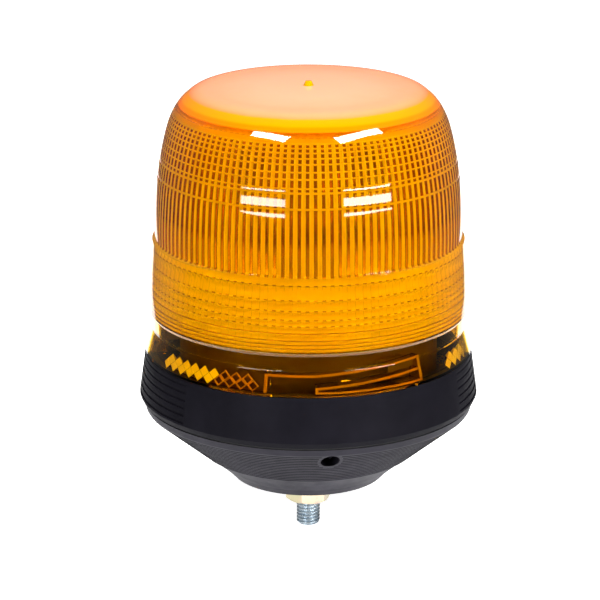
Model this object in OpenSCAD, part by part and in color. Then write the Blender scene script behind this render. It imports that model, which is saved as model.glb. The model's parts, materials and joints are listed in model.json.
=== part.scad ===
/* [Lens] */
// Thickness of the lens wall
lens_wall = 2.4; // [1.6:0.1:3]
// Inner radius of the bayonet rails
rail_in_r = 59.6; // [59:0.1:60]
// Climb of the bayonet ramp
ramp_rise = 3.0; // [2:0.1:3.4]
// Clearance between a bayonet lug and each rail
lug_gap = 0.35; // [0.3:0.05:0.5]

/* [Base] */
// Outer radius of the chassis drum
drum_r = 54; // [53:0.5:57.5]
// Height of the top of the chassis drum above the mounting face
drum_top = 72; // [70:0.5:73]
// Pitch of the grip ribs on the base housing
grip_pitch = 3.1; // [2.8:0.1:3.1]
// Pitch of the fine ribs on the foot
foot_rib_pitch = 1.26; // [1:0.02:1.6]
// Radius of the cable hole in the foot
cable_hole_r = 3.9; // [3:0.1:4]

/* [Fixing bolt] */
// Nominal radius of the bolt
bolt_r = 5; // [4:0.5:5]
// Reach of the bolt below the mounting face
bolt_reach = 24.4; // [22:0.1:40]
// Width across the flats of nut and bolt head
bolt_flats = 17; // [15:0.5:17]
// Height of the nut
nut_h = 8.4; // [7:0.1:9]

/* [Drive] */
// Gear module
gear_mod = 0.9; // [0.7:0.05:0.9]
// Teeth on the rotor gear
wheel_teeth = 64; // [56:1:64]
// Teeth on the motor pinion
pinion_teeth = 12; // [12:1:14]
// Direction of the motor from the centre, counter-clockwise from +X
motor_angle = 35; // [30:1:40]

/* [Lamp] */
// Outer radius of the fixed lamp column
column_r = 9; // [8.5:0.1:9.2]
// Radial running clearance of the rotor on the column
running_fit = 0.06; // [0.02:0.01:0.1]
// Height of the bulb's filament above the mounting face
focus_z = 126; // [125:0.5:130]
// Focal length of the reflector
focal = 14; // [13:0.5:14]

/* [Hidden] */
$fn = 96;
e = 0.01;
ramp_from = -5.5;
ramp_to = 34.8;
ramp_mid = (ramp_from + ramp_to) / 2;
entry_from = -22.5;
post_w = 1.2;
ramp_r = 61.5;
ramp_tilt = atan(ramp_rise / (2 * ramp_r * sin((ramp_to - ramp_from) / 2)));
lower_z = 59.9;
upper_z = 63.8;
rail_t = 1.0;
part_line = 55.4;
crown_z = 167.1;
deck_z = 34.3;
deck_t = 3;
deck_top = deck_z + deck_t;
flange_t = 3;
plate_t = 2;
gasket_t = 1;
bolt_hole_r = bolt_r + 0.3;
washer_t = 2.5;
spring_t = 2.8;
hub_lift = 0.5;
nut_bottom = hub_lift - washer_t - spring_t - nut_h;
thread_core_r = bolt_r - 0.5;
column_flange_t = 1.5;
gear_z = 75.5;
gear_t = 3.5;
turntable_z = 101;
turntable_t = 3;
carrier_t = 2.5;
column_top = 106;
wheel_r = gear_mod * wheel_teeth / 2;
pinion_r = gear_mod * pinion_teeth / 2;
motor_x = wheel_r + pinion_r;
motor_r = 12.1;
dish_r = 30;
dish_h = 36;
screws_a = [75, 195, 315];
lugs_a = [0, 120, 240];
carrier_a = [50, 130];

// Outline of the lens from the rim up to the crown, as [radius, height].
lens_outline = [
    [68.3, part_line], [66.9, 60.2], [65.62, 64.7], [65.4, 65.4], [65.4, 71.6], [66.5, 72.8],
    [66.5, 80], [66, 88.7], [65.35, 97.2], [64.95, 102.6], [63.8, 104], [63.8, 112], [63.4, 121],
    [62.6, 130], [61.2, 139], [59.3, 147.5], [57.2, 154], [54.2, 159.4], [50.4, 163.3],
    [45.6, 165.8], [36, 166.6], [24, 166.9], [12, 167], [0, crown_z],
];

// Unit normal, pointing inwards, of an outline at point i.
function inward(p, i) =
    let (a = p[max(i - 1, 0)], b = p[min(i + 1, len(p) - 1)], d = b - a, n = norm(d))
    [-d[1], d[0]] / n;

// The same outline moved inwards by t, with its ends kept on the rim and on the axis.
function inset(p, t) = [
    for (i = [0:len(p) - 1])
        i == len(p) - 1 ? p[i] - [0, t]
        : i == 0 ? p[i] - [t * 1.15, 0]
        : p[i] + t * inward(p, i)
];

function backwards(p) = [for (i = [len(p) - 1:-1:0]) p[i]];

// Direction in the plan for an azimuth a: 0 is the front, -Y, and + turns towards +X.
function plan(a) = a - 90;

// Ring from radius r1 to r2 and height z1 to z2, between azimuths a1 and a2.
module arc_ring(r1, r2, z1, z2, a1, a2) {
    rotate([0, 0, plan(a1)])
        rotate_extrude(angle = a2 - a1)
            translate([r1, z1]) square([r2 - r1, z2 - z1]);
}

// Everything between two planes that climb with the ramp, z1 and z2 high at its middle.
module ramp_slab(z1, z2) {
    rotate([0, 0, plan(ramp_mid)])
        rotate([ramp_tilt, 0, 0])
            translate([-90, -90, z1]) cube([180, 180, z2 - z1]);
}

module tube(r_out, r_in, z, h) {
    difference() {
        translate([0, 0, z]) cylinder(r = r_out, h = h);
        translate([0, 0, z - 1]) cylinder(r = r_in, h = h + 2);
    }
}

// Pan-head screw standing on z, with its shank going down by len.
module pan_screw(r, head_r, head_h, len) {
    translate([0, 0, -len]) cylinder(r = r, h = len + e, $fn = 32);
    difference() {
        cylinder(r = head_r, h = head_h, $fn = 32);
        for (turn = [0, 90])
            rotate([0, 0, turn])
                translate([-head_r * 0.6, -0.35, head_h * 0.5]) cube([head_r * 1.2, 0.7, head_h]);
    }
}

module around(r, angles) {
    for (a = angles) rotate([0, 0, a]) translate([r, 0, 0]) children();
}

// Round lead through a list of points.
module lead(points, r) {
    for (i = [0:len(points) - 2]) {
        step = points[i + 1] - points[i];
        run = norm(step);
        translate(points[i])
            rotate([0, acos(step[2] / run), atan2(step[1], step[0])])
                cylinder(r = r, h = run, $fn = 24);
        if (i < len(points) - 2) translate(points[i + 1]) sphere(r = r * 1.08, $fn = 24);
    }
}

// Spur gear outline: straight-flanked teeth with backlash.
module gear_outline(teeth) {
    pitch_r = gear_mod * teeth / 2;
    step = 360 / teeth;
    polygon([
        for (i = [0:teeth - 1], k = [[-0.33, -1.2], [-0.13, 0.85], [0.13, 0.85], [0.33, -1.2]])
            let (r = pitch_r + k[1] * gear_mod, a = step * (i + k[0]))
            [r * cos(a), r * sin(a)]
    ]);
}

// Rails of one bayonet on the inside of the lens.
module bayonet_rails() {
    out_r = 65;
    foot_z = part_line + 0.4;
    intersection() {
        arc_ring(rail_in_r, out_r, foot_z, 70, ramp_from, ramp_to);
        union() {
            ramp_slab(40, lower_z);
            ramp_slab(upper_z, upper_z + rail_t);
        }
    }
    entry_z = upper_z - ramp_rise / 2;
    arc_ring(rail_in_r, out_r, entry_z, entry_z + rail_t, entry_from, ramp_from + 0.3);
    arc_ring(rail_in_r, out_r, foot_z, entry_z + rail_t + 0.2, entry_from - post_w, entry_from + 0.1);
    end_z = upper_z + ramp_rise / 2 + rail_t + 0.5;
    arc_ring(rail_in_r, out_r, foot_z - 0.1, end_z, ramp_to - 0.1, ramp_to + post_w);
}

module lens() {
    color([1, 0.55, 0.05, 0.6]) {
        rotate_extrude($fn = 180) {
            polygon(concat(lens_outline, backwards(inset(lens_outline, lens_wall))));
        }
        translate([0, 0, crown_z - 0.6]) cylinder(r1 = 2.4, r2 = 1.2, h = 2.6, $fn = 24);
        intersection() {
            union() {
                for (a = lugs_a) rotate([0, 0, a]) bayonet_rails();
            }
            rotate_extrude($fn = 180) {
                polygon(concat([[0, part_line]], inset(lens_outline, lens_wall / 2)));
            }
        }
    }
}

module lens_seal() {
    color([0.12, 0.12, 0.12]) tube(66.6, 63.6, 53.4, part_line - 53.4);
}

// Black ring that carries the lens, closed below by a deck.
module base_housing() {
    ribs = 6;
    color([0.13, 0.13, 0.15]) difference() {
        rotate_extrude($fn = 180) polygon([
            [bolt_hole_r, deck_z], [69.9, deck_z], [71, 36.6], [69.9, 44.6], [68.4, 55.1], [66.9, 55.1],
            [66.9, 53.3], [63.3, 53.3], [63.3, 55.1], [62.2, 55.1], [62.2, 51.5], [66.4, 48],
            [67.4, 40], [67, deck_top], [bolt_hole_r, deck_top],
        ]);
        for (side = [90, -90], i = [0:ribs - 1])
            arc_ring(68.4 + (ribs - 1 - i) * 0.4, 75, 37.4 + i * grip_pitch, 38.7 + i * grip_pitch,
                side - 36, side + 36);
        translate([0, -24, 0]) cylinder(r = 5.5, h = 50);
        around(61, screws_a) cylinder(r = 2.2, h = 50, $fn = 32);
        around(61, [for (a = screws_a) a + 60]) cylinder(r = 1.6, h = 50, $fn = 32);
    }
}

// Outer edge of the foot: fine ribs down the slope, then a smooth band.
foot_top = [69.2, deck_z - gasket_t];
foot_slope = [[68.6, 30.7], [44.6, 11]];
foot_ribs = floor((foot_slope[0][1] - foot_slope[1][1]) / foot_rib_pitch);
foot_edge = [
    for (i = [0:foot_ribs - 1], k = [0, 1])
        let (t = (i + 0.72 * k) / foot_ribs, p = foot_slope[0] * (1 - t) + foot_slope[1] * t)
        p + [0.45 * k, 0]
];

module foot_cone() {
    hub_r = 13;
    inner = [[64.9, 30.4], [36.4, 7.2], [29.4, 0]];
    color([0.2, 0.19, 0.22]) difference() {
        union() {
            rotate_extrude($fn = 180) polygon(concat(
                [foot_top], foot_edge,
                [foot_slope[1], [39.4, 6.8], [35.3, 3.3], [32.2, 0], [29.4, 0], inner[1], inner[0],
                [56, 30.4], [56, foot_top[1]]]
            ));
            translate([0, 0, hub_lift]) cylinder(r = hub_r, h = 4);
            intersection() {
                for (a = [0, -45, -135, 180, 135, 90])
                    rotate([0, 0, a]) translate([hub_r - 1, -1.5, 1]) cube([60, 3, 29.9]);
                rotate_extrude($fn = 180)
                    polygon([[0, 0], inner[2] + [1, 0], inner[1] + [1, 0], inner[0] + [1, 0.5], [0, 30.9]]);
            }
            for (a = screws_a) rotate([0, 0, a]) translate([61, 0, 27]) cylinder(r = 4, h = 4, $fn = 32);
            intersection() {
                translate([0, -51, 26.6]) rotate([90, 0, 0]) cylinder(r = 6.4, h = 20);
                rotate_extrude($fn = 180)
                    polygon([[0, 0], inner[2] + [1, 0], inner[1] + [1, 0], inner[0] + [1, 0.5], [0, 30.9]]);
            }
        }
        translate([0, 0, -1]) cylinder(r = bolt_hole_r, h = 8);
        translate([0, -40, 26.6]) rotate([90, 0, 0]) cylinder(r = cable_hole_r, h = 40);
        around(61, screws_a) translate([0, 0, 28.5]) cylinder(r = 1.6, h = 10, $fn = 32);
    }
}

module foot_gasket() {
    color([0.06, 0.06, 0.06]) difference() {
        tube(68.6, 56.5, deck_z - gasket_t, gasket_t);
        around(61, screws_a) cylinder(r = 2.2, h = 50, $fn = 32);
    }
}

module foot_screws() {
    color([0.75, 0.75, 0.78]) around(61, screws_a)
        translate([0, 0, deck_top]) pan_screw(1.55, 3.4, 2, 7.5);
}

// Drum with the platform on top and a lug for each bayonet.
module chassis() {
    wall = 2.5;
    color([0.09, 0.09, 0.1]) difference() {
        union() {
            tube(drum_r, drum_r - wall, deck_top, drum_top - deck_top);
            translate([0, 0, drum_top - wall]) cylinder(r = drum_r, h = wall);
            tube(65.4, drum_r - wall, deck_top, flange_t);
            for (a = lugs_a) rotate([0, 0, a])
                intersection() {
                    arc_ring(drum_r - 1, 62.2, 50, 70, 22.5, 34);
                    ramp_slab(lower_z + lug_gap, upper_z - lug_gap);
                }
        }
        translate([0, 0, drum_top - 5]) cylinder(r = 6, h = 10);
        around(61, [for (a = screws_a) a + 60]) cylinder(r = 2.2, h = 50, $fn = 32);
        around(61, screws_a) translate([0, 0, deck_top - 1]) cylinder(r = 4, h = 8, $fn = 32);
        rotate([0, 0, motor_angle]) translate([motor_x, 0, 0]) {
            cylinder(r = 3.6, h = 90, $fn = 32);
            for (s = [-1, 1]) translate([0, 8 * s, 0]) cylinder(r = 1.3, h = 90, $fn = 32);
        }
        around(16, screws_a) cylinder(r = 1.3, h = 90, $fn = 32);
        rotate([0, 0, 150]) translate([30, 0, 60]) cylinder(r = 3, h = 20, $fn = 32);
    }
}

module chassis_screws() {
    color([0.75, 0.75, 0.78]) around(61, [for (a = screws_a) a + 60])
        translate([0, 0, deck_top + flange_t]) pan_screw(1.55, 3.2, 2, flange_t + deck_t - 0.2);
}

module bolt_plate() {
    color([0.7, 0.7, 0.72]) tube(16, bolt_hole_r, deck_top, plate_t);
}

// Hexagon bolt. Below the nut it has the nominal radius, and above that the core radius of its thread.
module mounting_bolt() {
    head_z = deck_top + plate_t;
    chamfer = 1.2;
    color([0.72, 0.76, 0.8]) {
        translate([0, 0, head_z])
            cylinder(r = bolt_flats / 2 / cos(30), h = 6.4, $fn = 6);
        translate([0, 0, nut_bottom]) cylinder(r = thread_core_r, h = head_z - nut_bottom + 1);
        translate([0, 0, -bolt_reach + chamfer])
            cylinder(r = bolt_r, h = bolt_reach + nut_bottom - chamfer);
        translate([0, 0, -bolt_reach]) cylinder(r1 = bolt_r - chamfer, r2 = bolt_r, h = chamfer);
    }
}

module flat_washer() {
    color([0.75, 0.77, 0.8]) tube(10, bolt_hole_r, hub_lift - washer_t, washer_t);
}

// Split lock washer.
module spring_washer() {
    color([0.7, 0.72, 0.75]) difference() {
        tube(9, bolt_r + 0.2, nut_bottom + nut_h, spring_t);
        translate([0, -0.8, nut_bottom + nut_h - 1]) rotate([25, 0, 0]) cube([12, 1.2, 6]);
    }
}

module hex_nut() {
    corner_r = bolt_flats / 2 / cos(30);
    color([0.85, 0.8, 0.6]) difference() {
        intersection() {
            translate([0, 0, nut_bottom]) rotate([0, 0, 6]) cylinder(r = corner_r, h = nut_h, $fn = 6);
            rotate_extrude() polygon([
                [0, nut_bottom], [bolt_flats / 2 - 0.3, nut_bottom], [corner_r + 1, nut_bottom + 1.6],
                [corner_r + 1, nut_bottom + nut_h - 1.6], [bolt_flats / 2 - 0.3, nut_bottom + nut_h],
                [0, nut_bottom + nut_h],
            ]);
        }
        translate([0, 0, nut_bottom - 1]) cylinder(r = thread_core_r + 0.05, h = nut_h + 2);
    }
}

module cable_grommet() {
    color([0.08, 0.08, 0.08]) translate([0, -24, 0]) rotate_extrude($fn = 64) polygon([
        [3.2, deck_z - 2], [7.5, deck_z - 2], [7.5, deck_z], [5.4, deck_z], [5.4, deck_top],
        [7.5, deck_top], [7.5, deck_top + 2], [3.2, deck_top + 2],
    ]);
}

module terminal_block() {
    color([0.85, 0.84, 0.78]) translate([-14, -46, deck_top]) difference() {
        cube([28, 10, 11]);
        for (x = [8, 20]) {
            translate([x, 5, 4]) cylinder(r = 2.2, h = 10, $fn = 32);
            translate([x, -1, 4]) rotate([-90, 0, 0]) cylinder(r = 1.7, h = 12, $fn = 32);
        }
    }
}

module terminal_screws() {
    color([0.85, 0.75, 0.4]) for (x = [-6, 6])
        translate([x, -41, deck_top + 6]) difference() {
            cylinder(r = 2.1, h = 4, $fn = 32);
            translate([-3, -0.3, 3]) cube([6, 0.6, 2]);
        }
}

module lamp_column() {
    color([0.82, 0.82, 0.8]) difference() {
        union() {
            translate([0, 0, drum_top]) cylinder(r = 19, h = column_flange_t);
            translate([0, 0, drum_top]) cylinder(r = column_r, h = column_top - drum_top);
        }
        translate([0, 0, 60]) cylinder(r = 5.5, h = 60);
        around(16, screws_a) cylinder(r = 1.3, h = 90, $fn = 32);
        tube(column_r + 1, column_r - 0.8, 104.3, 1.1);
    }
}

module column_screws() {
    color([0.75, 0.75, 0.78]) around(16, screws_a)
        translate([0, 0, drum_top + column_flange_t]) pan_screw(1.25, 1.9, 1.1, 6);
}

module thrust_washer() {
    color([0.8, 0.7, 0.45])
        tube(12.4, column_r + 0.1, drum_top + column_flange_t, 0.7);
}

module column_clip() {
    color([0.6, 0.6, 0.62]) difference() {
        tube(column_r + 1.6, column_r - 0.75, 104.35, 1);
        translate([0, -2, 100]) cube([20, 4, 10]);
    }
}

// Drive gear, sleeve and turntable in one moulding.
module rotor_gear() {
    hub_z = drum_top + column_flange_t + 0.8;
    color([0.93, 0.92, 0.88]) difference() {
        union() {
            translate([0, 0, gear_z]) linear_extrude(gear_t)
                rotate([0, 0, motor_angle + 180 / wheel_teeth]) gear_outline(wheel_teeth);
            translate([0, 0, hub_z]) cylinder(r = 12.4, h = turntable_z + turntable_t - hub_z);
            translate([0, 0, turntable_z]) cylinder(r = 24, h = turntable_t);
        }
        translate([0, 0, 60]) cylinder(r = column_r + running_fit, h = 60);
        around(19, carrier_a) translate([0, 0, 95]) cylinder(r = 1.2, h = 12, $fn = 32);
        around(20, [for (i = [0:5]) 60 * i + 30]) translate([0, 0, 70]) cylinder(r = 4.5, h = 12, $fn = 32);
    }
}

// Parabolic bowl opening towards +Y, between two offsets behind the mirror surface.
module dish(front, back) {
    steps = 14;
    function bowl(r, t) = [r, r * r / (4 * focal) - focal - t];
    intersection() {
        translate([0, 0, focus_z]) rotate([-90, 0, 0])
            rotate_extrude($fn = 120) polygon(concat(
                [for (i = [0:steps]) bowl(dish_r * i / steps, front)],
                [for (i = [steps:-1:0]) bowl(dish_r * i / steps, back)]
            ));
        translate([-40, -40, turntable_z + turntable_t + 1.2]) cube([80, 80, dish_h]);
    }
}

module lamp_clearance() {
    translate([0, 0, 95]) cylinder(r = 11.2, h = 22.5);
}

// Pressed carrier: foot ring on the turntable and the shell behind the mirror.
module reflector_carrier() {
    color([0.75, 0.75, 0.77]) difference() {
        union() {
            translate([0, 0, turntable_z + turntable_t]) cylinder(r = 23, h = carrier_t);
            dish(1, 2.6);
        }
        lamp_clearance();
        around(19, carrier_a) translate([0, 0, 100]) cylinder(r = 1.5, h = 10, $fn = 32);
    }
}

module reflector() {
    color([0.9, 0.9, 0.92]) difference() {
        intersection() {
            dish(0, 1);
            translate([-40, -40, turntable_z + turntable_t + carrier_t]) cube([80, 80, 60]);
        }
        lamp_clearance();
    }
}

module carrier_screws() {
    color([0.75, 0.75, 0.78]) around(19, carrier_a)
        translate([0, 0, turntable_z + turntable_t + carrier_t]) pan_screw(1.15, 2.4, 1.4, 6);
}

module bulb_holder() {
    color([0.88, 0.86, 0.8]) difference() {
        union() {
            translate([0, 0, column_top]) cylinder(r = 8.8, h = 6);
            translate([0, 0, column_top - 4]) cylinder(r = 5.4, h = 5);
        }
        for (x = [-2.4, 2.4]) translate([x, 0, column_top - 5]) cylinder(r = 1.1, h = 5, $fn = 24);
        translate([0, 0, column_top + 2]) cylinder(r = 6, h = 5);
    }
}

module bulb_cap() {
    color([0.75, 0.75, 0.76]) {
        translate([0, 0, column_top + 2]) cylinder(r = 5.9, h = 4.5);
        translate([0, 0, column_top + 6]) cylinder(r = 7.2, h = 1.2);
        translate([0, 0, column_top + 7]) cylinder(r = 5.4, h = 6);
    }
}

module bulb_retainer() {
    color([0.7, 0.7, 0.72]) tube(8.8, 7.3, column_top + 6, 1.4);
    color([0.7, 0.7, 0.72]) tube(8.8, 6.2, column_top + 7.3, 0.8);
}

// Quartz envelope with a domed end, standing in the metal cap.
module bulb_glass() {
    glass_r = 5.2;
    glass_z = column_top + 13;
    color([0.9, 0.93, 0.95, 0.4]) rotate_extrude($fn = 64) difference() {
        union() {
            translate([0, glass_z]) square([glass_r, 20]);
            intersection() {
                translate([0, glass_z + 20]) circle(r = glass_r);
                translate([0, glass_z]) square([10, 40]);
            }
        }
        translate([-1, glass_z + 4]) square([glass_r - 0.1, 16]);
        translate([0, glass_z + 20]) circle(r = glass_r - 1.1);
        translate([-20, 0]) square([20, 200]);
    }
}

module bulb_filament() {
    color([0.6, 0.6, 0.6]) {
        translate([-2.5, 0, focus_z]) rotate([0, 90, 0]) cylinder(r = 0.7, h = 5, $fn = 24);
        for (x = [-2.5, 2.5]) translate([x, 0, column_top + 17]) cylinder(r = 0.35, h = focus_z - column_top - 17, $fn = 16);
    }
}

module at_motor() {
    rotate([0, 0, motor_angle]) translate([motor_x, 0, 0]) children();
}

module motor_can() {
    color([0.72, 0.72, 0.74]) at_motor() difference() {
        union() {
            translate([0, 0, 44]) cylinder(r = motor_r, h = drum_top - 2.5 - 44);
            translate([0, 0, 60]) cylinder(r = 3.4, h = 11);
        }
        translate([0, 0, 40]) cylinder(r = 1.15, h = 40, $fn = 32);
        translate([0, 0, 42]) cylinder(r = motor_r - 1, h = 4.5);
        for (s = [-1, 1]) translate([0, 8 * s, 64]) cylinder(r = 1, h = 10, $fn = 32);
    }
}

module motor_end_cap() {
    color([0.1, 0.1, 0.1]) at_motor() difference() {
        union() {
            translate([0, 0, 42.5]) cylinder(r = motor_r, h = 1.5);
            translate([0, 0, 43]) cylinder(r = motor_r - 1.1, h = 3);
        }
        for (s = [-1, 1]) translate([6 * s - 0.5, -1.5, 40]) cube([1, 3, 10]);
        translate([0, 0, 40]) cylinder(r = 1.15, h = 10, $fn = 32);
    }
}

module motor_screws() {
    color([0.75, 0.75, 0.78]) at_motor()
        for (s = [-1, 1]) translate([0, 8 * s, drum_top]) pan_screw(0.95, 1.9, 1.1, 6);
}

module motor_shaft() {
    color([0.7, 0.7, 0.72]) at_motor() translate([0, 0, 44.5]) cylinder(r = 1.08, h = 35.5, $fn = 32);
}

module pinion() {
    color([0.85, 0.7, 0.35]) at_motor() difference() {
        union() {
            translate([0, 0, gear_z - 0.5]) linear_extrude(gear_t + 1)
                rotate([0, 0, 180]) gear_outline(pinion_teeth);
            translate([0, 0, gear_z - 2.5]) cylinder(r = 3, h = 2.6, $fn = 32);
        }
        translate([0, 0, 60]) cylinder(r = 1.1, h = 30, $fn = 32);
    }
}

module suppressor() {
    color([0.55, 0.35, 0.2]) translate([31, -32, deck_top]) difference() {
        cube([6, 13, 10]);
        translate([-1, -1, 9]) cube([1.6, 20, 3]);
    }
}

// Leads from the terminal block through the platform's column to the bulb holder.
module lamp_leads() {
    color([0.7, 0.1, 0.1]) for (s = [-1, 1])
        lead([[6 * s, -35.6, 41.3], [6 * s, -30, 44], [2.4 * s, -12, 56], [2.4 * s, 0, 66],
            [2.4 * s, 0, column_top - 4.4]], 0.9);
}

module motor_leads() {
    m = [motor_x * cos(motor_angle), motor_x * sin(motor_angle)];
    color([0.1, 0.1, 0.5]) for (s = [-1, 1])
        lead([[14.75, -41 + 2.5 * s, 43], [20.5 - 2.5 * s, -36 + 2.5 * s, 41.5], [m[0] - 4 * s, m[1] - 16, 40.5],
            [m[0] - 4 * s, m[1] - 5, 40], [m[0] - 4 * s, m[1] - 3, 41.8]], 0.8);
}

lens();
lens_seal();
base_housing();
foot_cone();
foot_gasket();
foot_screws();
chassis();
chassis_screws();
bolt_plate();
mounting_bolt();
flat_washer();
spring_washer();
hex_nut();
cable_grommet();
terminal_block();
terminal_screws();
lamp_column();
column_screws();
thrust_washer();
column_clip();
rotor_gear();
reflector_carrier();
reflector();
carrier_screws();
bulb_holder();
bulb_cap();
bulb_glass();
bulb_filament();
bulb_retainer();
motor_can();
motor_end_cap();
motor_screws();
motor_shaft();
pinion();
suppressor();
lamp_leads();
motor_leads();
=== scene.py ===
"""Amber rotating beacon: its looks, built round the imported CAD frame. Lengths are in metres."""

import json
import math

import bmesh
import bpy
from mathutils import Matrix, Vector


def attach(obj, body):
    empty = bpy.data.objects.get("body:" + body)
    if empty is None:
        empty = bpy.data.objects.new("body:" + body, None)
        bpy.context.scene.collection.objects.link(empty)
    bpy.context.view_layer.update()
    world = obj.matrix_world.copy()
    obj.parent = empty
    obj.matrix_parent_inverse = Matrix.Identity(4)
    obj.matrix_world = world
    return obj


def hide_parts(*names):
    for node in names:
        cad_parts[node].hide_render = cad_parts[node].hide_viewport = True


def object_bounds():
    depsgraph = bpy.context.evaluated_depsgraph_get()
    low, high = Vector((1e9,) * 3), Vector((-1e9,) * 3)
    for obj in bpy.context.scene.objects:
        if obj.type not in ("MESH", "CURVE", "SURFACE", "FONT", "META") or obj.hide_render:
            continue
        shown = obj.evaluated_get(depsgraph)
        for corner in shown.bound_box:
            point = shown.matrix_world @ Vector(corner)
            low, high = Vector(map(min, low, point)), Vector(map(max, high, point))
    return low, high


MM = 0.001
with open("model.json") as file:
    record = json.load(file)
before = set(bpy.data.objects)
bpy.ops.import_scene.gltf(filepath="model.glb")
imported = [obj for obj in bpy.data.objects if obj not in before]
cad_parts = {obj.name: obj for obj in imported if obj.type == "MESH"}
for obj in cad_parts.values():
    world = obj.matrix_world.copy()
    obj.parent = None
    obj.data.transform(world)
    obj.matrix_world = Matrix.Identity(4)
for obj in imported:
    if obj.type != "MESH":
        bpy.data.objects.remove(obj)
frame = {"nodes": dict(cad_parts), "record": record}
cad_low, cad_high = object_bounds()
nodes = frame["nodes"]

# ---------------------------------------------------------------- driving sizes, in millimetres

FLUTES = 120  # vertical flutes round the inside of the dome
STATIONS = (0, 0.06, 0.225, 0.39, 0.45, 0.5875, 0.725, 0.8625)  # mesh columns over one flute's pitch
SAMPLES = len(STATIONS)
RECESS_SAMPLES = 4  # the columns that take in the flat recess; the rib has the others
RIB_FROM = STATIONS[RECESS_SAMPLES]
COLUMNS = FLUTES * SAMPLES
OUTER_COLUMNS = FLUTES * 2
WALL = 2.4
RIM_Z = 55.4  # parting line between lens and base

# Outline of the lens: (radius, height) from the rim to the crown, with the corners it keeps.
OUTLINE = [
    (68.3, RIM_Z), (65.62, 64.7), (65.4, 65.4), (65.4, 71.6), (66.5, 72.8),
    (66.5, 80), (66, 88.7), (65.35, 97.2), (64.95, 103.3), (63.8, 104), (63.8, 112), (63.4, 121),
    (62.6, 130), (61.2, 139), (59.3, 147.5), (57.2, 154), (54.2, 159.4), (50.4, 163.3),
    (45.6, 165.8), (36, 166.4), (24, 166.8), (12, 167.03), (0, 167.1),
]
CORNERS = (RIM_Z, 64.7, 65.4, 71.6, 72.8, 103.3, 104)
SPLINE_STEPS = 12  # points over each stretch of the outline
CROWN_Z = OUTLINE[-1][1]
COLLAR_FOOT, COLLAR_TOP = 72.8, 101.5
FLUTE_FOOT, FLUTE_TOP, FADE_TOP = 102.7, 155.7, 161.5
SHOULDER_Z = 159.9  # where the satin shoulder of the crown, with its painted reflection, starts
RECESS_DEPTH, RIB_RISE = 0.5, 0.3  # recess and rounded rib of one flute
FADE_SHARE = 0.25  # how much of a flute's depth is left where the fade starts
LANDS = (155.7, 154.1, 152.4, 150.4, 148.2, 145.2, 142.5, 139.0, 137.2, 130.9)
LAND_HALF, WIDE_LAND_HALF = 0.28, 0.45  # half the height of the plain band at each land
GROOVES, GROOVE_HALF, GROOVE_DEPTH = (137.2, 130.9), 0.3, 0.1  # outside the dome, at the wide lands
RINGS = (100.2, 94.2, 89.9, 86.2, 83.7, 80.8, 77.8, 76.1, 74.5, 72.9)  # between collar ribs
RING_HALF, DASHED_FROM = 0.28, 82  # half height of the painted shade line between ribs, dashed above this height
RING_RIB_MAX, RING_RIB_SHARE = 1.1, 0.28  # a ring rib stands in by a share of its height, up to the max
RING_ROWS = 8  # mesh rows over one ring rib
FINE_DEPTH = 0.12  # fine upright flutes inside the collar, four to a dome flute
UNDERCUT_SHADE_FOOT, UNDERCUT_SHADE_TOP = 71.4, 72.7  # band of painted shade outside, under the collar's lip
STEP_HALF = 0.05  # half the height over which flutes and ribs start and end
EDGE_OFFSETS = (-0.25, -0.12, 0.12, 0.25)  # rows that round off a corner of the outline
OUTER_STEP, OUTER_WALL_TOP, OUTER_CROWN_FOOT = 1.6, 158, 158.2
INNER_STEP, INNER_WALL_TOP, INNER_CROWN_FOOT = 3.0, 157.4, 158.6
APEX_R = 1.5  # the crown's rings stop here, and one fan of triangles closes it


def lerp(a, b, t):
    return a + (b - a) * t


def catmull(p0, p1, p2, p3, t):
    return 0.5 * (
        2 * p1
        + (p2 - p0) * t
        + (2 * p0 - 5 * p1 + 4 * p2 - p3) * t * t
        + (3 * p1 - p0 - 3 * p2 + p3) * t**3
    )


def smooth_outline():
    """The outline with its dome rounded off by a spline, as a dense list from rim to crown."""
    dense = []
    last = len(OUTLINE) - 1
    for i in range(last):
        a, b = OUTLINE[i], OUTLINE[i + 1]
        before = OUTLINE[i - 1] if i > 0 and a[1] not in CORNERS else a
        if i + 2 > last:
            after = (-a[0], a[1])  # the far side of the crown
        else:
            after = OUTLINE[i + 2] if b[1] not in CORNERS else b
        for k in range(SPLINE_STEPS):
            t = k / SPLINE_STEPS
            dense.append(tuple(catmull(before[c], a[c], b[c], after[c], t) for c in (0, 1)))
    dense.append(OUTLINE[-1])
    return dense


CURVE = smooth_outline()


def radius_at(z):
    for (r0, z0), (r1, z1) in zip(CURVE, CURVE[1:]):
        if z0 <= z <= z1:
            return lerp(r0, r1, (z - z0) / max(z1 - z0, 1e-6))
    return 0.0


def heights(low, high, step, marks):
    """Heights from low to high, at most step apart, that take in every mark."""
    fixed = sorted({low, high, *(m for m in marks if low < m < high)})
    rows = [low]
    for a, b in zip(fixed, fixed[1:]):
        count = max(1, math.ceil((b - a) / step))
        rows += [lerp(a, b, (k + 1) / count) for k in range(count)]
    return rows


# ---------------------------------------------------------------- mesh helpers


def new_object(name, verts, faces, smooth_angle=35):
    mesh = bpy.data.meshes.new(name)
    mesh.from_pydata([Vector(v) * MM for v in verts], [], faces)
    mesh.validate()
    bm = bmesh.new()
    bm.from_mesh(mesh)
    bmesh.ops.recalc_face_normals(bm, faces=bm.faces)
    bm.to_mesh(mesh)
    bm.free()
    obj = bpy.data.objects.new(name, mesh)
    bpy.context.scene.collection.objects.link(obj)
    for poly in mesh.polygons:
        poly.use_smooth = True
    mesh.set_sharp_from_angle(angle=math.radians(smooth_angle))
    return obj


def turn_of(j):
    """Share of a full turn at column j of the inside of the lens."""
    return (j // SAMPLES + STATIONS[j % SAMPLES]) / FLUTES


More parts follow.
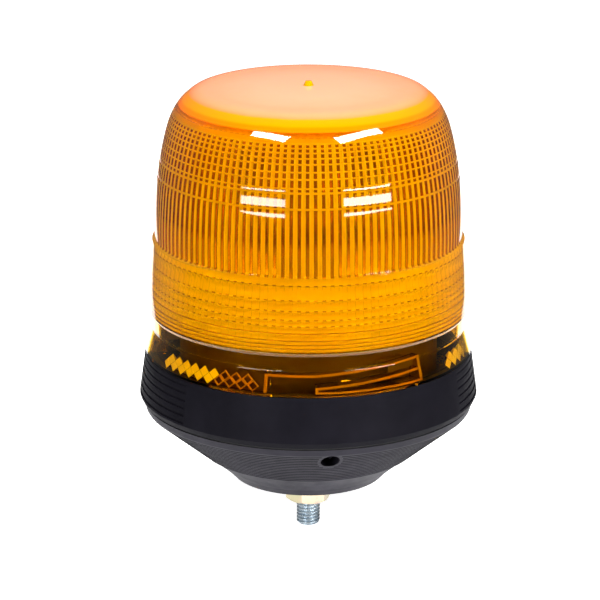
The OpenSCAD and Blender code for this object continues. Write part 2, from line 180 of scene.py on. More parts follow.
def ring(radius_of, z, columns):
    """One ring of points. radius_of takes the column's number."""
    points = []
    for j in range(columns):
        a = 2 * math.pi * (turn_of(j) if columns == COLUMNS else j / columns)
        r = radius_of(j)
        points.append((r * math.cos(a), r * math.sin(a), z))
    return points


def skin(rings, columns, first):
    """Quads between rings of the same number of points, whose numbering starts at first."""
    faces = []
    for i in range(rings - 1):
        for j in range(columns):
            k = (j + 1) % columns
            a, b = first + i * columns, first + (i + 1) * columns
            faces.append((a + j, a + k, b + k, b + j))
    return faces


def lids(count, columns):
    """Flat faces over the first and the last ring of a stack of count points."""
    return [tuple(range(columns - 1, -1, -1)), tuple(range(count - columns, count))]


# ---------------------------------------------------------------- materials

GRAIN_HEIGHT = 0.00003  # metres
ACRYLIC, SOFT_ACRYLIC, QUARTZ = 1.49, 1.42, 1.46  # refractive indices


def tree(name):
    mat = bpy.data.materials.new(name)
    mat.use_nodes = True
    nt = mat.node_tree
    return mat, nt, nt.nodes["Principled BSDF"]


def noise(nt, scale, detail=4, rough=0.6):
    coord = nt.nodes.new("ShaderNodeTexCoord")
    tex = nt.nodes.new("ShaderNodeTexNoise")
    tex.inputs["Scale"].default_value = scale
    tex.inputs["Detail"].default_value = detail
    tex.inputs["Roughness"].default_value = rough
    nt.links.new(coord.outputs["Object"], tex.inputs["Vector"])
    return tex.outputs["Fac"]


def ramp(nt, source, stops):
    node = nt.nodes.new("ShaderNodeValToRGB")
    el = node.color_ramp.elements
    while len(el) < len(stops):
        el.new(0.5)
    for e, (at, colour) in zip(el, stops):
        e.position = at
        e.color = (*colour, 1)
    nt.links.new(source, node.inputs["Fac"])
    return node.outputs["Color"]


def spread(nt, source, low, high):
    """The middle of a noise, from 0.3 to 0.7, stretched over low to high."""
    node = nt.nodes.new("ShaderNodeMapRange")
    node.inputs["From Min"].default_value = 0.3
    node.inputs["From Max"].default_value = 0.7
    node.inputs["To Min"].default_value = low
    node.inputs["To Max"].default_value = high
    nt.links.new(source, node.inputs["Value"])
    return node.outputs["Result"]


def bump(nt, bsdf, source, strength, distance):
    node = nt.nodes.new("ShaderNodeBump")
    node.inputs["Strength"].default_value = strength
    node.inputs["Distance"].default_value = distance
    nt.links.new(source, node.inputs["Height"])
    nt.links.new(node.outputs["Normal"], bsdf.inputs["Normal"])


def moulded(name, dark, light, rough=(0.35, 0.5), shine=0.5):
    """Moulded plastic or rubber: slight mottling, uneven gloss and a fine surface grain."""
    mat, nt, bsdf = tree(name)
    bsdf.inputs["Specular IOR Level"].default_value = shine
    nt.links.new(ramp(nt, noise(nt, 45), [(0.3, dark), (0.7, light)]), bsdf.inputs["Base Color"])
    nt.links.new(spread(nt, noise(nt, 160), *rough), bsdf.inputs["Roughness"])
    bump(nt, bsdf, noise(nt, 2500, 2), 0.35, GRAIN_HEIGHT)
    return mat


def metal(name, stops, rough=(0.2, 0.35), scale=120):
    """Plated or turned metal: patchy tint, uneven polish and a fine grain."""
    mat, nt, bsdf = tree(name)
    bsdf.inputs["Metallic"].default_value = 1.0
    nt.links.new(ramp(nt, noise(nt, scale), stops), bsdf.inputs["Base Color"])
    nt.links.new(spread(nt, noise(nt, 700, 3, 0.7), *rough), bsdf.inputs["Roughness"])
    bump(nt, bsdf, noise(nt, 1800, 2), 0.15, GRAIN_HEIGHT)
    return mat


def clear(name, dark, light, ior, rough, share=1.0):
    """Transparent plastic or glass. share is how much light goes through and isn't scattered."""
    mat, nt, bsdf = tree(name)
    nt.links.new(ramp(nt, noise(nt, 30), [(0.3, dark), (0.7, light)]), bsdf.inputs["Base Color"])
    nt.links.new(spread(nt, noise(nt, 220), *rough), bsdf.inputs["Roughness"])
    bsdf.inputs["Transmission Weight"].default_value = share
    bsdf.inputs["IOR"].default_value = ior
    return mat


def frosted(name, low, high, stops, share, rough):
    """Scattering amber whose colour follows the height, which goes from low to high in millimetres. The
    height ramp paints light and shade onto the amber.
    """
    mat, nt, bsdf = tree(name)
    coord = nt.nodes.new("ShaderNodeTexCoord")
    split = nt.nodes.new("ShaderNodeSeparateXYZ")
    nt.links.new(coord.outputs["Object"], split.inputs["Vector"])
    height = nt.nodes.new("ShaderNodeMapRange")
    height.inputs["From Min"].default_value = low * MM
    height.inputs["From Max"].default_value = high * MM
    nt.links.new(split.outputs["Z"], height.inputs["Value"])
    mottled = nt.nodes.new("ShaderNodeMath")
    mottled.operation = "MULTIPLY_ADD"
    mottled.inputs[1].default_value = 0.06
    nt.links.new(noise(nt, 60), mottled.inputs[0])
    nt.links.new(height.outputs["Result"], mottled.inputs[2])
    nt.links.new(ramp(nt, mottled.outputs["Value"], stops), bsdf.inputs["Base Color"])
    nt.links.new(spread(nt, noise(nt, 220), *rough), bsdf.inputs["Roughness"])
    bsdf.inputs["Transmission Weight"].default_value = share
    bsdf.inputs["IOR"].default_value = SOFT_ACRYLIC
    return mat


# Each ramp's colours follow the height, from the low to the high end that its material names below, and
# paint light and shade onto the amber.
# Painted light: the frost ramp turns the inside of the crown orange at the shoulder and bright yellow
# under its top, where light comes through.
FROST_LIGHT_STOPS = [
    (0.1, (1.0, 0.62, 0.0)),
    (0.3, (1.0, 0.5, 0.0)),
    (0.58, (1.0, 0.42, 0.0)),
    (0.7, (1.0, 0.85, 0.01)),
]
# Painted reflection: the crown ramp pales to peach towards the top, standing for the studio sweep
# mirrored in the crown.
CROWN_SHEEN_STOPS = [
    (0.06, (1.0, 0.2, 0.0)),
    (0.26, (1.0, 0.2, 0.0)),
    (0.36, (1.0, 0.28, 0.0)),
    (0.62, (1.0, 0.28, 0.003)),
    (0.7, (1.0, 0.27, 0.09)),
    (0.86, (1.0, 0.35, 0.17)),
    (1.0, (0.98, 0.46, 0.28)),
]
# Painted shade: the recess ramp's browns stand for shade seen through the lens. They fall in the flute
# recesses, darker higher up the dome, and in lighter browns on the collar's ring lines and on the band
# under the collar's lip.
RECESS_SHADE_HEIGHTS = (104, 124)
RECESS_SHADE_STOPS = [
    (0.2, (0.75, 0.3, 0.05)),
    (0.55, (0.6, 0.18, 0.03)),
    (0.7, (0.28, 0.035, 0.0)),
    (1.0, (0.34, 0.05, 0.0)),
]

MATERIALS = {
    "amber_lens": clear("amber_acrylic", (1.0, 0.5, 0.0), (1.0, 0.53, 0.002), ACRYLIC, (0.0, 0.03)),
    "amber_optic": clear("amber_optic", (1.0, 0.72, 0.0), (1.0, 0.8, 0.008), ACRYLIC, (0.3, 0.4), 0.36),
    "amber_ridge": clear("amber_ridge", (1.0, 0.52, 0.0), (1.0, 0.6, 0.004), ACRYLIC, (0.05, 0.1), 0.6),
    # Painted glint: the filled reflex prisms are painted pale yellow and almost opaque, standing for the
    # light they throw back.
    "amber_reflex_glint": clear("amber_reflex_glint", (1.0, 0.96, 0.1), (1.0, 1.0, 0.14), ACRYLIC, (0.1, 0.2), 0.05),
    "amber_recess_shade": frosted("amber_recess_shade", *RECESS_SHADE_HEIGHTS, RECESS_SHADE_STOPS, 0.85, (0.1, 0.2)),
    "amber_frost_light": frosted("amber_frost_light", FLUTE_TOP, CROWN_Z - WALL, FROST_LIGHT_STOPS, 0.3, (0.4, 0.5)),
    "amber_crown_sheen": frosted("amber_crown_sheen", SHOULDER_Z, CROWN_Z, CROWN_SHEEN_STOPS, 0.3, (0.05, 0.1)),
    "amber_inner": clear("amber_inner", (1.0, 0.84, 0.2), (1.0, 0.86, 0.24), ACRYLIC, (0.0, 0.03)),
    # Painted shadow: near-black matt beads that stand for the shade under the lips of the foot's ribs.
    "black_shadow_line": moulded(
        "black_shadow_line", (0.001, 0.001, 0.0015), (0.002, 0.002, 0.003), (0.7, 0.8), 0.02
    ),
    "black_rubber": moulded("black_rubber", (0.012, 0.012, 0.013), (0.022, 0.021, 0.023), (0.6, 0.75)),
    "black_housing": moulded(
        "black_housing", (0.003, 0.0027, 0.0045), (0.0055, 0.005, 0.0078), (0.5, 0.62), 0.04
    ),
    "chassis_black": moulded("chassis_black", (0.08, 0.055, 0.045), (0.11, 0.075, 0.06), (0.4, 0.5)),
    "grey_black_foot": moulded(
        "charcoal_foot", (0.01, 0.009, 0.0135), (0.016, 0.0145, 0.0215), (0.5, 0.62), 0.15
    ),
    "zinc_steel": metal("bright_zinc", [(0.3, (0.55, 0.56, 0.58)), (0.7, (0.68, 0.68, 0.69))]),
    "blue_zinc_bolt": metal(
        "blue_zinc", [(0.25, (0.3, 0.38, 0.46)), (0.5, (0.46, 0.53, 0.58)), (0.8, (0.36, 0.44, 0.52))]
    ),
    "yellow_zinc_nut": metal(
        "yellow_zinc",
        [
            (0.3, (0.5, 0.22, 0.24)),
            (0.45, (0.55, 0.46, 0.32)),
            (0.6, (0.45, 0.43, 0.26)),
            (0.75, (0.42, 0.26, 0.26)),
        ],
        (0.25, 0.4),
        60,
    ),
    "cream_plastic": moulded("cream_plastic", (0.66, 0.62, 0.5), (0.74, 0.7, 0.6)),
    "brass_parts": metal("brass", [(0.3, (0.6, 0.42, 0.16)), (0.7, (0.75, 0.55, 0.25))]),
    "white_nylon": moulded("white_nylon", (0.72, 0.7, 0.62), (0.8, 0.79, 0.73), (0.4, 0.55)),
    "pressed_aluminium": metal(
        "pressed_aluminium", [(0.3, (0.72, 0.72, 0.74)), (0.7, (0.8, 0.8, 0.81))], (0.3, 0.4)
    ),
    "black_plastic": moulded("black_plastic", (0.012, 0.012, 0.012), (0.02, 0.02, 0.02)),
    "mirror_metal": metal(
        "mirror_film", [(0.3, (0.86, 0.86, 0.87)), (0.7, (0.92, 0.92, 0.92))], (0.03, 0.09)
    ),
    "ceramic": moulded("ceramic", (0.7, 0.67, 0.58), (0.78, 0.76, 0.7), (0.55, 0.7)),
    "clear_glass": clear("quartz", (0.97, 0.98, 0.99), (0.99, 0.99, 1.0), QUARTZ, (0.0, 0.02)),
    "tungsten": metal("tungsten", [(0.3, (0.25, 0.25, 0.26)), (0.7, (0.36, 0.36, 0.37))], (0.4, 0.5)),
    "motor_steel": metal(
        "motor_steel", [(0.3, (0.48, 0.48, 0.5)), (0.7, (0.58, 0.58, 0.6))], (0.28, 0.42)
    ),
    "capacitor_brown": moulded("dipped_brown", (0.26, 0.1, 0.03), (0.34, 0.14, 0.05), (0.15, 0.3)),
    "red_lead": moulded("red_insulation", (0.42, 0.02, 0.015), (0.5, 0.035, 0.02)),
    "blue_lead": moulded("blue_insulation", (0.02, 0.05, 0.3), (0.03, 0.07, 0.38)),
}


def dress_cad_nodes():
    """Each CAD node takes its slot's material, but the chassis is browner than the base."""
    slots = {row["node"]: row["material_slot"] for row in frame["record"]["subparts"]}
    for name, obj in nodes.items():
        material = MATERIALS["chassis_black" if name == "chassis" else slots[name]]
        if not obj.material_slots:
            obj.data.materials.append(material)
        for s in obj.material_slots:
            s.material = material


def finish_piece(obj, body, slot, *replaced, look=None):
    """Give a piece its material and body. The material is the slot's own, unless look names another."""
    obj.data.materials.append(MATERIALS[look or slot])
    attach(obj, body)
    if replaced:
        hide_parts(*replaced)


# ---------------------------------------------------------------- lens

# Material slots of the lens. PLAIN is the look of its own slot, and the others follow in this order.
# The recess slot carries painted shade, the frost slot painted light, and the crown slot a painted
# reflection.
PLAIN, OPTIC, RECESS_SHADE, FROST_LIGHT, CROWN_SHEEN, SKIRT = range(6)
LENS_LOOKS = ("amber_optic", "amber_recess_shade", "amber_frost_light", "amber_crown_sheen", "amber_inner")


def bulge(u):
    """Rounded rib over 0..1, with a sharp valley at each end."""
    return 1 - (2 * u - 1) ** 2


def flute(j):
    """Outward step of the inner wall at column j: a flat recess, then a rib that stands in."""
    k = j % SAMPLES
    if k < RECESS_SAMPLES:
        return RECESS_DEPTH if k else 0.0
    return -RIB_RISE * bulge((STATIONS[k] - RIB_FROM) / (1 - RIB_FROM))


def fine_flute(j):
    return float(j % 2)


def collar_rib(z):
    """How far the collar's ring ribs stand in at height z."""
    for high, low in zip(RINGS, RINGS[1:]):
        if low <= z <= high:
            depth = min(RING_RIB_MAX, RING_RIB_SHARE * (high - low))
            return depth * bulge((z - low) / (high - low))
    return 0.0


def land_half(z):
    return WIDE_LAND_HALF if z in GROOVES else LAND_HALF


def inner_radius(z, j):
    """Radius of the inside of the lens wall at height z and column j."""
    r = radius_at(z) - WALL
    if COLLAR_FOOT < z < COLLAR_TOP:
        return r - collar_rib(z) - FINE_DEPTH * fine_flute(j)
    if FLUTE_FOOT < z < FLUTE_TOP:
        on_land = any(abs(z - c) < land_half(c) for c in LANDS)
        return r if on_land else r + flute(j)
    return r


def crown(first_z, inset):
    """Rings over the crown, from first_z up, as (radius, height), moved inwards by inset."""
    rows = []
    for (r0, z0), (r1, z1) in zip(CURVE, CURVE[1:]):
        if z0 <= first_z or r0 < APEX_R:
            continue
        n = math.hypot(r1 - r0, z1 - z0)
        rows.append((r0 - inset * (z1 - z0) / n, z0 + inset * (r1 - r0) / n))
    return rows[::2]


def edges():
    """Heights just below and above each corner of the outline, which round it off."""
    return [c + d for c in CORNERS[1:] for d in EDGE_OFFSETS]


def outer_skin():
    """Rows of the outside of the lens, as (radius, height)."""
    grooves = [c + d for c in GROOVES for d in (-GROOVE_HALF, 0, GROOVE_HALF)]
    rows = []
    for z in heights(RIM_Z, OUTER_WALL_TOP, OUTER_STEP, [*edges(), *grooves]):
        rows.append((radius_at(z) - (GROOVE_DEPTH if z in GROOVES else 0.0), z))
    return rows + crown(OUTER_CROWN_FOOT, 0)


def inner_marks():
    """Heights that the rows of the inside have to take in."""
    ends = ((FLUTE_FOOT, -1), (FLUTE_FOOT, 1), (COLLAR_FOOT, 1), (COLLAR_TOP, -1))
    marks = [*edges(), *RINGS, *(z + side * STEP_HALF for z, side in ends)]
    for c in LANDS:
        marks += [c + side * land_half(c) + d for side in (-1, 1) for d in (-STEP_HALF, STEP_HALF)]
    for c in RINGS:
        marks += [c - RING_HALF, c + RING_HALF]
    for high, low in zip(RINGS, RINGS[1:]):
        marks += [lerp(low, high, k / RING_ROWS) for k in range(1, RING_ROWS)]
    return marks


def make_lens():
    """The lens in one mesh: outside from rim to crown, then inside, then the rim between them."""
    verts = []
    outer = outer_skin()
    for r, z in outer:
        verts += ring(lambda j: r, z, OUTER_COLUMNS)
    faces = skin(len(outer), OUTER_COLUMNS, 0)
    top = len(verts) - OUTER_COLUMNS
    apex = len(verts)
    verts.append((0, 0, CROWN_Z))
    faces += [(top + j, top + (j + 1) % OUTER_COLUMNS, apex) for j in range(OUTER_COLUMNS)]

    first = len(verts)
    rows = heights(RIM_Z, INNER_WALL_TOP, INNER_STEP, inner_marks())
    for z in rows:
        verts += ring(lambda j: inner_radius(z, j), z, COLUMNS)
    under = crown(INNER_CROWN_FOOT, WALL)
    for r, z in under:
        fade = FADE_SHARE * max(0.0, (FADE_TOP - WALL - z) / (FADE_TOP - FLUTE_TOP))
        verts += ring(lambda j: r + fade * flute(j), z, COLUMNS)
    faces += skin(len(rows) + len(under), COLUMNS, first)
    top = len(verts) - COLUMNS
    apex = len(verts)
    verts.append((0, 0, CROWN_Z - WALL))
    faces += [(top + j, top + (j + 1) % COLUMNS, apex) for j in range(COLUMNS)]
    for j in range(OUTER_COLUMNS):
        k = (j + 1) % OUTER_COLUMNS
        base = first + 4 * j  # four columns of the inside to one of the outside
        faces.append((j, k, first + (4 * k) % COLUMNS, base + 3, base + 2, base + 1, base))
    obj = new_object("lens_shell", verts, faces, 32)
    finish_piece(obj, "lens", "amber_lens", "lens")
    for name in LENS_LOOKS:
        obj.data.materials.append(MATERIALS[name])
    zones = []
    for _, z in outer:
        # Outside, the band under the collar's lip takes painted shade, and the crown takes a painted
        # reflection.
        undercut_shade = UNDERCUT_SHADE_FOOT < z < UNDERCUT_SHADE_TOP
        zones += [RECESS_SHADE if undercut_shade else CROWN_SHEEN if z > SHOULDER_Z else PLAIN] * OUTER_COLUMNS
    for i in range(len(rows) + len(under) - 1):
        z = (rows[i] + rows[i + 1]) / 2 if i + 1 < len(rows) else FADE_TOP
        zones += [zone(z, j) for j in range(COLUMNS)]
    zones += [FROST_LIGHT] * COLUMNS + [PLAIN] * OUTER_COLUMNS
    obj.data.polygons.foreach_set("material_index", zones)


def zone(z, j):
    """Material slot of the face of the inside whose middle is at height z and that starts at column j."""
    in_recess = j % SAMPLES < RECESS_SAMPLES
    # The crown's inside takes the slot with painted light. The ring lines between the collar's ribs and
    # the flute recesses off the lands take the slot with painted shade.
    if z < COLLAR_FOOT:
        return SKIRT
    if z >= FLUTE_TOP + LAND_HALF:
        return FROST_LIGHT
    if z < COLLAR_TOP:
        line = min(RINGS, key=lambda c: abs(z - c))
        on_shade_line = abs(z - line) < RING_HALF
        return RECESS_SHADE if on_shade_line and (line < DASHED_FROM or in_recess) else OPTIC
    on_land = any(abs(z - c) < land_half(c) + STEP_HALF for c in LANDS)
    return RECESS_SHADE if FLUTE_FOOT < z and in_recess and not on_land else OPTIC


def place(azimuth, radius, z):
    """Point at an azimuth in degrees: 0 is the front, and + turns towards +X."""
    a = math.radians(azimuth)
    return (radius * math.sin(a), -radius * math.cos(a), z)


def inside(z, gap=0.03):
    """Radius just clear of the plain inside of the skirt at height z."""
    return radius_at(z) - WALL - gap


def swept_bar(start, end, low_of, high_of, r_in):
    """Verts and faces of a bar on the inside of the skirt, from azimuth start to end."""
    steps = max(2, round(end - start))
    verts, faces = [], []
    for i in range(steps + 1):
        t = i / steps
        az = lerp(start, end, t)
        low, high = low_of(t), high_of(t)
        verts += [place(az, r_in, low), place(az, inside(low), low)]
        verts += [place(az, inside(high), high), place(az, r_in, high)]
    for i in range(steps):
        for k in range(4):
            a, b = 4 * i + k, 4 * i + (k + 1) % 4
            faces.append((a, b, b + 4, a + 4))
    last = 4 * steps
    faces += [(3, 2, 1, 0), (last, last + 1, last + 2, last + 3)]
    return verts, faces


def joined(parts):
    verts, faces = [], []
    for v, f in parts:
        start = len(verts)
        verts += v
        faces += [tuple(i + start for i in face) for face in f]
    return verts, faces


RAIL_IN_R = 59.6
RAIL_T = 1.0
ENTRY_FROM, RAMP_FROM, RAMP_TO = -22.5, -5.5, 34.8  # degrees from the middle of the track
LOW_RAIL, HIGH_RAIL, RISE = 58.4, 62.3, 3.0
TRACK_FOOT, TRACK_SILL = RIM_Z + 0.5, 0.8  # foot of the track, and the height of the bar along it
POST_WIDTH, END_WIDTH = 1, 1.2  # degrees
SKIRT_TOUCH = 0.4  # faces this near the skirt's inside count as lying against it


def make_rails(turn, number):
    """One bayonet track inside the skirt: entry frame on the left, then two rails that climb."""

    def climb(base):
        return lambda t: base + RISE * t

    def level(z):
        return lambda t: z

    def bar(start, end, low_of, high_of):
        return swept_bar(turn + start, turn + end, low_of, high_of, RAIL_IN_R)

    sill = TRACK_FOOT + TRACK_SILL
    top = HIGH_RAIL + RAIL_T
    parts = [
        bar(RAMP_FROM, RAMP_TO, climb(HIGH_RAIL), climb(top)),
        bar(RAMP_FROM, RAMP_TO, climb(LOW_RAIL - RAIL_T), climb(LOW_RAIL)),
        bar(RAMP_FROM, RAMP_TO, level(TRACK_FOOT), level(sill)),
        bar(RAMP_FROM, RAMP_FROM + POST_WIDTH, level(sill), level(LOW_RAIL - RAIL_T)),
        bar(ENTRY_FROM, RAMP_FROM, level(HIGH_RAIL), level(top)),
        bar(ENTRY_FROM - END_WIDTH, ENTRY_FROM, level(TRACK_FOOT), level(top)),
        bar(RAMP_TO, RAMP_TO + END_WIDTH, level(TRACK_FOOT), level(top + RISE)),
    ]
    obj = new_object("bayonet_track_%d" % number, *joined(parts), 20)
    finish_piece(obj, "lens", "amber_lens", look="amber_ridge")
    obj.data.materials.append(MATERIALS["amber_inner"])
    for poly in obj.data.polygons:
        middle = poly.center / MM
        against_skirt = math.hypot(middle.x, middle.y) > inside(middle.z, SKIRT_TOUCH)
        poly.material_index = 0 if against_skirt else 1


DIAMOND_STEP = 4.5  # degrees
DIAMOND_H = 4.5
DIAMOND_IN = 1.9
DIAMOND_HALF = 0.48  # half a prism, as a share of its pitch and height
RIM_HOLE_HALF, RIM_H = 0.36, 0.4  # the same share for the hole in an unfilled prism, and its rim's height
BAND_FROM, BAND_FOOT = -70.5, RIM_Z + 0.4  # azimuth from the middle of the track, and height
BAND_PRISMS, BAND_FILLED = 10, 6  # in a row; the filled ones carry the painted glint, the others are left as rims


def diamond_corners(az, z, share):
    half, tall = DIAMOND_STEP * share, DIAMOND_H * share
    return [(az - half, z), (az, z - tall), (az + half, z), (az, z + tall)]


def diamond(az, z):
    """Four-sided prism with its base on the inside of the skirt."""
    verts = [place(a, inside(h), h) for a, h in diamond_corners(az, z, DIAMOND_HALF)]
    verts.append(place(az, inside(z) - DIAMOND_IN, z))
    return verts, [(0, 1, 2, 3), (0, 1, 4), (1, 2, 4), (2, 3, 4), (3, 0, 4)]


def diamond_rim(az, z):
    """A prism left unfilled: only its raised four-sided rim."""
    verts = []
    for share in (DIAMOND_HALF, RIM_HOLE_HALF):
        corners = diamond_corners(az, z, share)
        verts += [place(a, inside(h), h) for a, h in corners]
        verts += [place(a, inside(h) - RIM_H, h) for a, h in corners]
    faces = []
    for k in range(4):
        n = (k + 1) % 4
        for a, b in ((0, 4), (4, 12), (12, 8), (8, 0)):
            faces.append((a + k, a + n, b + n, b + k))
    return verts, faces


def make_diamonds(turn, number):
    """Reflex band: two staggered rows of prisms between one bayonet track and the next. The filled prisms
    carry a painted glint; the others are left as rims.
    """
    prisms, rims = [], []
    for i in range(BAND_PRISMS):
        az = turn + BAND_FROM + DIAMOND_STEP * (i + 0.5)
        shape, row = (diamond, prisms) if i < BAND_FILLED else (diamond_rim, rims)
        row.append(shape(az, BAND_FOOT + DIAMOND_H / 2))
        if i < BAND_PRISMS - 1:
            row.append(shape(az + DIAMOND_STEP / 2, BAND_FOOT + DIAMOND_H))
    band = new_object("reflex_glint_band_%d" % number, *joined(prisms), 10)
    finish_piece(band, "lens", "amber_lens", look="amber_reflex_glint")
    outlines = new_object("reflex_rims_%d" % number, *joined(rims), 10)
    finish_piece(outlines, "lens", "amber_lens", look="amber_ridge")


SPRUE = ((2.1, 0.03), (1.8, 0.7), (1.5, 1.35), (1.25, 1.85), (0.5, 1.95))  # radius, height over the crown
SPRUE_COLUMNS = 24


def make_sprue():
    """Gate pip in the middle of the crown."""
    verts = [p for r, rise in SPRUE for p in ring(lambda j: r, CROWN_Z + rise, SPRUE_COLUMNS)]
    faces = skin(len(SPRUE), SPRUE_COLUMNS, 0) + lids(len(verts), SPRUE_COLUMNS)
    finish_piece(new_object("sprue_pip", verts, faces), "lens", "amber_lens", look="amber_ridge")


# ---------------------------------------------------------------- foot


FOOT_SLOPE = ((68.6, 30.7), (44.6, 11))  # radius and height of the sloping side's two ends
FOOT_RIBS, RIB_PROUD, LIP_AT = 15, 0.45, 0.72  # a rib's lip is proud at this share of its pitch
SHADOW_LINE_RISE, SHADOW_LINE_SINK, SHADOW_LINE_HALF = 0.1, 0.1, 0.2  # over and under the lip, and half the painted shadow line's height
SHADOW_LINE_STEPS = 180
HOLE_Z, HOLE_CLEAR = 26.6, 5.2  # height of the cable hole and the bare round left about it


def foot_radius(z):
    (r0, z0), (r1, z1) = FOOT_SLOPE
    return lerp(r0, r1, (z - z0) / (z1 - z0))


def foot_shadow_line(z):
    """Fine painted shadow line along the lip of one of the foot's ribs, broken at the cable hole."""
    (r0, z0), (r1, z1) = FOOT_SLOPE
    lean = (r1 - r0) / (z1 - z0)
    half = math.sqrt(max(0.0, HOLE_CLEAR**2 - (z - HOLE_Z) ** 2))
    gap = math.degrees(half / foot_radius(z))
    lip = foot_radius(z) + RIB_PROUD
    section = (
        (lip - SHADOW_LINE_HALF * lean - SHADOW_LINE_SINK, z - SHADOW_LINE_HALF),
        (lip + SHADOW_LINE_RISE, z),
        (lip + SHADOW_LINE_HALF * lean - SHADOW_LINE_SINK, z + SHADOW_LINE_HALF),
    )
    verts = []
    for i in range(SHADOW_LINE_STEPS + (1 if gap else 0)):
        az = gap + (360 - 2 * gap) * i / SHADOW_LINE_STEPS
        verts += [place(az, r, h) for r, h in section]
    faces = []
    rings = len(verts) // 3
    for i in range(rings if not gap else rings - 1):
        n = (i + 1) % rings
        for k in range(3):
            m = (k + 1) % 3
            faces.append((3 * i + k, 3 * i + m, 3 * n + m, 3 * n + k))
    if gap:
        last = 3 * (rings - 1)
        faces += [(2, 1, 0), (last, last + 1, last + 2)]
    return verts, faces


def make_foot_shadow_lines():
    high, low = FOOT_SLOPE[0][1], FOOT_SLOPE[1][1]
    shadow_lines = [foot_shadow_line(lerp(high, low, (k + LIP_AT) / FOOT_RIBS)) for k in range(FOOT_RIBS)]
    obj = new_object("foot_shadow_lines", *joined(shadow_lines), 30)
    finish_piece(obj, "base", "grey_black_foot", look="black_shadow_line")


# ---------------------------------------------------------------- bolt


BOLT_R, THREAD_PITCH, THREAD_DEPTH = 5.0, 1.5, 0.85
BOLT_TIP, THREAD_TOP, HEAD_Z, HEAD_TOP = -24.4, -11.6, 39.3, 45.7
BOLT_COLUMNS, THREAD_ROW = 72, 0.1
NOSE_IN, NOSE_RISE, NOSE_BEND = 1.3, 1.2, 0.6  # rounded end of the bolt
SHANK_IN, SHANK_RISE = 0.5, 0.4  # plain shank under the thread's crests, and where it starts
HEAD_FLATS, CHAMFER_RISE, CHAMFER_IN = 17, 0.9, 0.7


def thread_radius(z, angle):
    """Radius of a right-hand metric thread, with its crests and roots rounded."""
    phase = (z / THREAD_PITCH - angle / (2 * math.pi)) % 1.0
    crest = 0.5 + 0.5 * math.cos(2 * math.pi * phase)
    sharp = crest * crest * (3 - 2 * crest)
    return BOLT_R - THREAD_DEPTH * (1 - sharp)


def make_bolt():
    """The bolt with its thread, a plain shank and a hexagon head inside the base."""
    columns = BOLT_COLUMNS
    rows = heights(BOLT_TIP, THREAD_TOP, THREAD_ROW, [])
    verts = []
    for z in rows:
        nose = BOLT_R - NOSE_IN + NOSE_IN * min(1.0, (z - BOLT_TIP) / NOSE_RISE) ** NOSE_BEND
        verts += ring(lambda j: min(nose, thread_radius(z, 2 * math.pi * j / columns)), z, columns)
    for z in (THREAD_TOP + SHANK_RISE, HEAD_Z):
        verts += ring(lambda j: BOLT_R - SHANK_IN, z, columns)
    faces = skin(len(rows) + 2, columns, 0) + lids(len(verts), columns)
    corner = HEAD_FLATS / 2 / math.cos(math.radians(30))
    hexagon = []
    for r, z in ((corner, HEAD_Z), (corner, HEAD_TOP - CHAMFER_RISE), (corner - CHAMFER_IN, HEAD_TOP)):
        hexagon += ring(lambda j: r, z, 6)
    head = skin(3, 6, 0) + lids(len(hexagon), 6)
    obj = new_object("threaded_bolt", *joined([(verts, faces), (hexagon, head)]), 40)
    finish_piece(obj, "base", "blue_zinc_bolt", "mounting_bolt")


# ---------------------------------------------------------------- camera, light and floor

# Strengths of the world, whose background colour is left at Blender's default dark grey. BACKDROP is what
# the camera itself sees past the floor; the other two light the object.
ROOM_LIGHT, SWEEP_LIGHT, BACKDROP = 0.12, 3.0, 0.9
DIM_EDGE, BRIGHT_EDGE = -0.1, 0.55  # where the world starts to brighten, and where it's brightest
SWEEP_LIFT = 0.12  # how far the brightest direction is turned up
TABLE_LIGHT = 1.0
TABLE_HALF, TABLE_REAR_HALF, TABLE_FRONT, TABLE_REAR = 0.2, 0.4, -0.19, 2.2  # metres
SENSOR = 36
PIVOT_Z, AIM_LEFT, AIM_UP = 55.1, 0.014, 0.0758  # the aim is moved by shares of the frame's width
BOX_AWAY = 1.2  # metres from the dome to a softbox
SOFTBOXES = (  # name, azimuth and height of the highlight, lean of the wall there, size, power
    ("box_upper_left", -24, 153.3, 34, (0.58, 0.25), 22),
    ("box_upper_right", 13, 153.7, 34, (0.8, 0.25), 27),
    ("box_lower_left", -25, 130.8, 7.8, (0.76, 0.15), 6),
    ("box_lower_right", 14.3, 132.6, 8.3, (0.85, 0.17), 9),
)


def make_camera():
    """The photograph's view: 18 degrees above the level and 8 degrees to the left of the front."""
    azimuth, elevation, distance = math.radians(-8), math.radians(18.04), 1.2215
    across = 0.2524  # what the frame's width spans at the object's axis
    back = Vector(
        (
            math.sin(azimuth) * math.cos(elevation),
            -math.cos(azimuth) * math.cos(elevation),
            math.sin(elevation),
        )
    )
    pivot = Vector((0, 0, PIVOT_Z * MM))
    data = bpy.data.cameras.new("camera")
    data.sensor_width = SENSOR
    data.lens = SENSOR * distance / across
    data.clip_start, data.clip_end = 0.05, 20
    cam = bpy.data.objects.new("camera", data)
    bpy.context.scene.collection.objects.link(cam)
    right = Vector((math.cos(azimuth), math.sin(azimuth), 0))
    up = right.cross(-back).normalized()
    aim = pivot - right * across * AIM_LEFT + up * across * AIM_UP
    cam.location = pivot + back * distance
    cam.rotation_mode = "QUATERNION"
    cam.rotation_quaternion = (aim - cam.location).to_track_quat("-Z", "Y")
    bpy.context.scene.camera = cam
    return cam


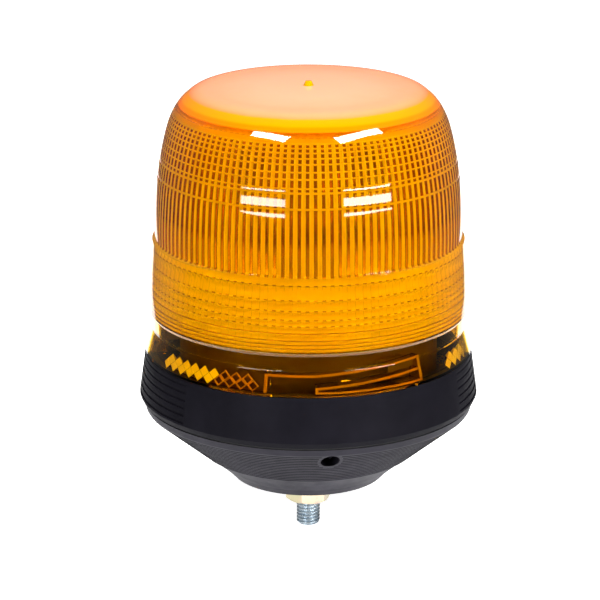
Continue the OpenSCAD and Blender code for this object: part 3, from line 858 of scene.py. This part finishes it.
def softbox(name, camera, azimuth, height, tilt, size, power):
    """A softbox that the dome mirrors at this azimuth and height, where its wall leans back by tilt."""
    a, t = math.radians(azimuth), math.radians(tilt)
    point = Vector((math.sin(a), -math.cos(a), 0)) * radius_at(height) * MM + Vector((0, 0, height * MM))
    normal = Vector((math.sin(a) * math.cos(t), -math.cos(a) * math.cos(t), math.sin(t)))
    view = (camera.location - point).normalized()
    way = (2 * normal.dot(view) * normal - view).normalized()
    data = bpy.data.lights.new(name, "AREA")
    data.shape = "RECTANGLE"
    data.size, data.size_y = size
    data.energy = power
    lamp = bpy.data.objects.new(name, data)
    bpy.context.scene.collection.objects.link(lamp)
    lamp.location = point + way * BOX_AWAY
    lamp.rotation_mode = "QUATERNION"
    lamp.rotation_quaternion = way.to_track_quat("Z", "Y")


def make_world(camera):
    """Light from a studio sweep behind the object, falling to a dim room on the camera's side."""
    world = bpy.data.worlds.new("studio")
    world.use_nodes = True
    nt = world.node_tree
    coord = nt.nodes.new("ShaderNodeTexCoord")
    dot = nt.nodes.new("ShaderNodeVectorMath")
    dot.operation = "DOT_PRODUCT"
    away = Vector((-camera.location.x, -camera.location.y, SWEEP_LIFT)).normalized()
    dot.inputs[1].default_value = away
    nt.links.new(coord.outputs["Generated"], dot.inputs[0])
    fall = nt.nodes.new("ShaderNodeMapRange")
    fall.interpolation_type = "SMOOTHSTEP"
    fall.inputs["From Min"].default_value = DIM_EDGE
    fall.inputs["From Max"].default_value = BRIGHT_EDGE
    fall.inputs["To Min"].default_value = ROOM_LIGHT
    fall.inputs["To Max"].default_value = SWEEP_LIGHT
    nt.links.new(dot.outputs["Value"], fall.inputs["Value"])
    path = nt.nodes.new("ShaderNodeLightPath")
    seen = nt.nodes.new("ShaderNodeMix")
    nt.links.new(path.outputs["Is Camera Ray"], seen.inputs["Factor"])
    nt.links.new(fall.outputs["Result"], seen.inputs["A"])
    seen.inputs["B"].default_value = BACKDROP
    nt.links.new(seen.outputs["Result"], nt.nodes["Background"].inputs["Strength"])
    bpy.context.scene.world = world


def make_stage(camera):
    """World, glowing pale floor that widens away from the camera, and softboxes for the highlights."""
    scene = bpy.context.scene
    scene.view_settings.view_transform = "Standard"
    make_world(camera)
    away = Vector((-camera.location.x, -camera.location.y, 0)).normalized()
    side = Vector((away.y, -away.x, 0))
    near, near_side = Vector((0, 0, cad_low.z)) + away * TABLE_FRONT, side * TABLE_HALF
    far, far_side = Vector((0, 0, cad_low.z)) + away * TABLE_REAR, side * TABLE_REAR_HALF
    corners = [near - near_side, near + near_side, far + far_side, far - far_side]
    mesh = bpy.data.meshes.new("floor")
    mesh.from_pydata(corners, [], [(0, 1, 2, 3)])
    floor = bpy.data.objects.new("floor", mesh)
    scene.collection.objects.link(floor)
    mat, nt, bsdf = tree("pale_floor")
    pale = ramp(nt, noise(nt, 3), [(0.3, (0.9, 0.9, 0.9)), (0.7, (0.93, 0.93, 0.93))])
    nt.links.new(pale, bsdf.inputs["Base Color"])
    bsdf.inputs["Roughness"].default_value = 0.9
    nt.links.new(pale, bsdf.inputs["Emission Color"])
    bsdf.inputs["Emission Strength"].default_value = TABLE_LIGHT
    floor.data.materials.append(mat)
    for name, *setting in SOFTBOXES:
        softbox(name, camera, *setting)


# ---------------------------------------------------------------- build

dress_cad_nodes()
make_lens()
for number in (1, 2, 3):
    turn = 120 * (number - 1)
    make_rails(turn, number)
    make_diamonds(turn, number)
make_sprue()
make_foot_shadow_lines()
make_bolt()
camera = make_camera()
make_stage(camera)
